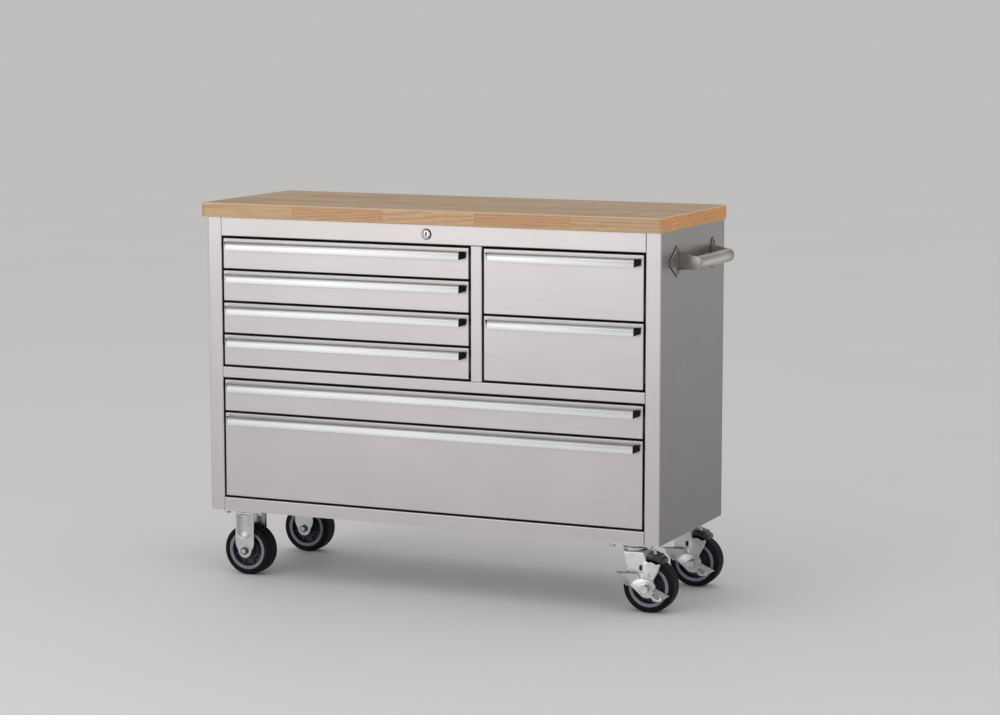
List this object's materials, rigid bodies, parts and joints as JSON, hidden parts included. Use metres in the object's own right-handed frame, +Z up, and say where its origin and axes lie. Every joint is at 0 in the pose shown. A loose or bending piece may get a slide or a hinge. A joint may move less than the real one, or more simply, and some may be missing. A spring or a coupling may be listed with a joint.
{
  "type": "rolling tool chest",
  "caption": "Stainless rolling tool chest with a wooden worktop, stacked drawers on slides, bar pulls, a push handle and braked swivel casters; stores tools and serves as a bench.",
  "frame": {"origin": "on the floor under the middle of the whole chest, push handle and pulls counted", "axes": "+X to the chest's right as seen from its front, where the push handle is; +Y to the back; +Z up; the drawers face -Y"},
  "size_m": [1.272, 0.459, 0.945],
  "materials": {
    "stainless": "brushed",
    "carcass_steel": "brushed",
    "handle_stainless": "satin",
    "tray_steel": "satin paint",
    "slide_zinc": "zinc plated",
    "caster_zinc": "bright zinc plated",
    "bright_chrome": "polished",
    "pull_aluminium": "satin anodised",
    "cap_plastic": "moulded",
    "worktop_wood": "oiled",
    "wheel_rubber": "matt",
    "wheel_core_plastic": "moulded"
  },
  "bodies": {
    "cabinet": {"worktop": "worktop_wood", "left_side_panel": "stainless", "right_side_panel": "stainless", "back_panel": "carcass_steel", "base_panel": "carcass_steel", "top_rail": "stainless", "middle_rail": "stainless", "bottom_rail": "stainless", "centre_divider": "stainless", "slide_outer_rails": "slide_zinc", "lock_housing": "bright_chrome", "push_handle": "handle_stainless", "handle_screws": "bright_chrome", "caster_bolts": "caster_zinc", "swivel_caster_plates": "caster_zinc", "rigid_caster_forks": "caster_zinc", "rigid_caster_axles": "caster_zinc"},
    "lock_cylinder": {"lock_plug": "bright_chrome", "lock_shaft": "slide_zinc"},
    "lock_linkage": {"lock_bar": "slide_zinc"},
    "left_drawer_1": {"left_drawer_1_box": "tray_steel", "left_drawer_1_front": "stainless", "left_drawer_1_pull": "pull_aluminium"},
    "left_drawer_1_slides": {"left_drawer_1_mid_rails": "slide_zinc"},
    "left_drawer_2": {"left_drawer_2_box": "tray_steel", "left_drawer_2_front": "stainless", "left_drawer_2_pull": "pull_aluminium"},
    "left_drawer_2_slides": {"left_drawer_2_mid_rails": "slide_zinc"},
    "left_drawer_3": {"left_drawer_3_box": "tray_steel", "left_drawer_3_front": "stainless", "left_drawer_3_pull": "pull_aluminium"},
    "left_drawer_3_slides": {"left_drawer_3_mid_rails": "slide_zinc"},
    "left_drawer_4": {"left_drawer_4_box": "tray_steel", "left_drawer_4_front": "stainless", "left_drawer_4_pull": "pull_aluminium"},
    "left_drawer_4_slides": {"left_drawer_4_mid_rails": "slide_zinc"},
    "right_drawer_1": {"right_drawer_1_box": "tray_steel", "right_drawer_1_front": "stainless", "right_drawer_1_pull": "pull_aluminium"},
    "right_drawer_1_slides": {"right_drawer_1_mid_rails": "slide_zinc"},
    "right_drawer_2": {"right_drawer_2_box": "tray_steel", "right_drawer_2_front": "stainless", "right_drawer_2_pull": "pull_aluminium"},
    "right_drawer_2_slides": {"right_drawer_2_mid_rails": "slide_zinc"},
    "wide_drawer_upper": {"wide_drawer_upper_box": "tray_steel", "wide_drawer_upper_front": "stainless", "wide_drawer_upper_pull": "pull_aluminium"},
    "wide_drawer_upper_slides": {"wide_drawer_upper_mid_rails": "slide_zinc"},
    "wide_drawer_lower": {"wide_drawer_lower_box": "tray_steel", "wide_drawer_lower_front": "stainless", "wide_drawer_lower_pull": "pull_aluminium"},
    "wide_drawer_lower_slides": {"wide_drawer_lower_mid_rails": "slide_zinc"},
    "front_left_wheel": {"front_left_wheel": "wheel_rubber"},
    "front_swivel": {"front_swivel_fork": "caster_zinc"},
    "front_right_wheel": {"front_right_wheel": "wheel_rubber"},
    "front_brake": {"front_brake_pedal": "caster_zinc"},
    "rear_left_wheel": {"rear_left_wheel": "wheel_rubber"},
    "rear_swivel": {"rear_swivel_fork": "caster_zinc"},
    "rear_right_wheel": {"rear_right_wheel": "wheel_rubber"},
    "rear_brake": {"rear_brake_pedal": "caster_zinc"}
  },
  "joints": [
    {"name": "lock_turn", "type": "hinge", "parent": "cabinet", "child": "lock_cylinder", "pos_m": [-0.0265, -0.2075, 0.88575], "axis": [0, 1, 0], "range_deg": [0, 90]},
    {"name": "lock_bar_lift", "type": "slide", "parent": "cabinet", "child": "lock_linkage", "axis": [0, 0, 1], "range_m": [0, 0.01131]},
    {"name": "left_drawer_1_pull_out", "type": "slide", "parent": "cabinet", "child": "left_drawer_1", "axis": [0, -1, 0], "range_m": [0, 0.38]},
    {"name": "left_drawer_1_slides_run", "type": "slide", "parent": "cabinet", "child": "left_drawer_1_slides", "axis": [0, -1, 0], "range_m": [0, 0.19]},
    {"name": "left_drawer_2_pull_out", "type": "slide", "parent": "cabinet", "child": "left_drawer_2", "axis": [0, -1, 0], "range_m": [0, 0.38]},
    {"name": "left_drawer_2_slides_run", "type": "slide", "parent": "cabinet", "child": "left_drawer_2_slides", "axis": [0, -1, 0], "range_m": [0, 0.19]},
    {"name": "left_drawer_3_pull_out", "type": "slide", "parent": "cabinet", "child": "left_drawer_3", "axis": [0, -1, 0], "range_m": [0, 0.38]},
    {"name": "left_drawer_3_slides_run", "type": "slide", "parent": "cabinet", "child": "left_drawer_3_slides", "axis": [0, -1, 0], "range_m": [0, 0.19]},
    {"name": "left_drawer_4_pull_out", "type": "slide", "parent": "cabinet", "child": "left_drawer_4", "axis": [0, -1, 0], "range_m": [0, 0.38]},
    {"name": "left_drawer_4_slides_run", "type": "slide", "parent": "cabinet", "child": "left_drawer_4_slides", "axis": [0, -1, 0], "range_m": [0, 0.19]},
    {"name": "right_drawer_1_pull_out", "type": "slide", "parent": "cabinet", "child": "right_drawer_1", "axis": [0, -1, 0], "range_m": [0, 0.38]},
    {"name": "right_drawer_1_slides_run", "type": "slide", "parent": "cabinet", "child": "right_drawer_1_slides", "axis": [0, -1, 0], "range_m": [0, 0.19]},
    {"name": "right_drawer_2_pull_out", "type": "slide", "parent": "cabinet", "child": "right_drawer_2", "axis": [0, -1, 0], "range_m": [0, 0.38]},
    {"name": "right_drawer_2_slides_run", "type": "slide", "parent": "cabinet", "child": "right_drawer_2_slides", "axis": [0, -1, 0], "range_m": [0, 0.19]},
    {"name": "wide_drawer_upper_pull_out", "type": "slide", "parent": "cabinet", "child": "wide_drawer_upper", "axis": [0, -1, 0], "range_m": [0, 0.38]},
    {"name": "wide_drawer_upper_slides_run", "type": "slide", "parent": "cabinet", "child": "wide_drawer_upper_slides", "axis": [0, -1, 0], "range_m": [0, 0.19]},
    {"name": "wide_drawer_lower_pull_out", "type": "slide", "parent": "cabinet", "child": "wide_drawer_lower", "axis": [0, -1, 0], "range_m": [0, 0.38]},
    {"name": "wide_drawer_lower_slides_run", "type": "slide", "parent": "cabinet", "child": "wide_drawer_lower_slides", "axis": [0, -1, 0], "range_m": [0, 0.19]},
    {"name": "front_left_wheel_roll", "type": "hinge", "parent": "cabinet", "child": "front_left_wheel", "pos_m": [-0.549, -0.1485, 0.0635], "axis": [0, 1, 0], "continuous": true},
    {"name": "front_swivel_turn", "type": "hinge", "parent": "cabinet", "child": "front_swivel", "pos_m": [0.496, -0.1485, 0.0635], "axis": [0, 0, 1], "continuous": true},
    {"name": "front_right_wheel_roll", "type": "hinge", "parent": "front_swivel", "child": "front_right_wheel", "pos_m": [0.53395, -0.14651, 0.0635], "axis": [-0.0523, 0.9986, 0], "continuous": true},
    {"name": "front_brake_press", "type": "hinge", "parent": "front_swivel", "child": "front_brake", "pos_m": [0.53395, -0.14651, 0.0635], "axis": [0.0523, -0.9986, 0], "range_deg": [0, 25]},
    {"name": "rear_left_wheel_roll", "type": "hinge", "parent": "cabinet", "child": "rear_left_wheel", "pos_m": [-0.549, 0.1705, 0.0635], "axis": [0, 1, 0], "continuous": true},
    {"name": "rear_swivel_turn", "type": "hinge", "parent": "cabinet", "child": "rear_swivel", "pos_m": [0.496, 0.1705, 0.0635], "axis": [0, 0, 1], "continuous": true},
    {"name": "rear_right_wheel_roll", "type": "hinge", "parent": "rear_swivel", "child": "rear_right_wheel", "pos_m": [0.53395, 0.17249, 0.0635], "axis": [-0.0523, 0.9986, 0], "continuous": true},
    {"name": "rear_brake_press", "type": "hinge", "parent": "rear_swivel", "child": "rear_brake", "pos_m": [0.53395, 0.17249, 0.0635], "axis": [0.0523, -0.9986, 0], "range_deg": [0, 25]}
  ],
  "couplings": [
    {"joint": "lock_turn", "follows": "lock_bar_lift", "rad_per_m": 138.83},
    {"joint": "left_drawer_1_slides_run", "follows": "left_drawer_1_pull_out", "ratio": 0.5},
    {"joint": "left_drawer_2_slides_run", "follows": "left_drawer_2_pull_out", "ratio": 0.5},
    {"joint": "left_drawer_3_slides_run", "follows": "left_drawer_3_pull_out", "ratio": 0.5},
    {"joint": "left_drawer_4_slides_run", "follows": "left_drawer_4_pull_out", "ratio": 0.5},
    {"joint": "right_drawer_1_slides_run", "follows": "right_drawer_1_pull_out", "ratio": 0.5},
    {"joint": "right_drawer_2_slides_run", "follows": "right_drawer_2_pull_out", "ratio": 0.5},
    {"joint": "wide_drawer_upper_slides_run", "follows": "wide_drawer_upper_pull_out", "ratio": 0.5},
    {"joint": "wide_drawer_lower_slides_run", "follows": "wide_drawer_lower_pull_out", "ratio": 0.5}
  ]
}
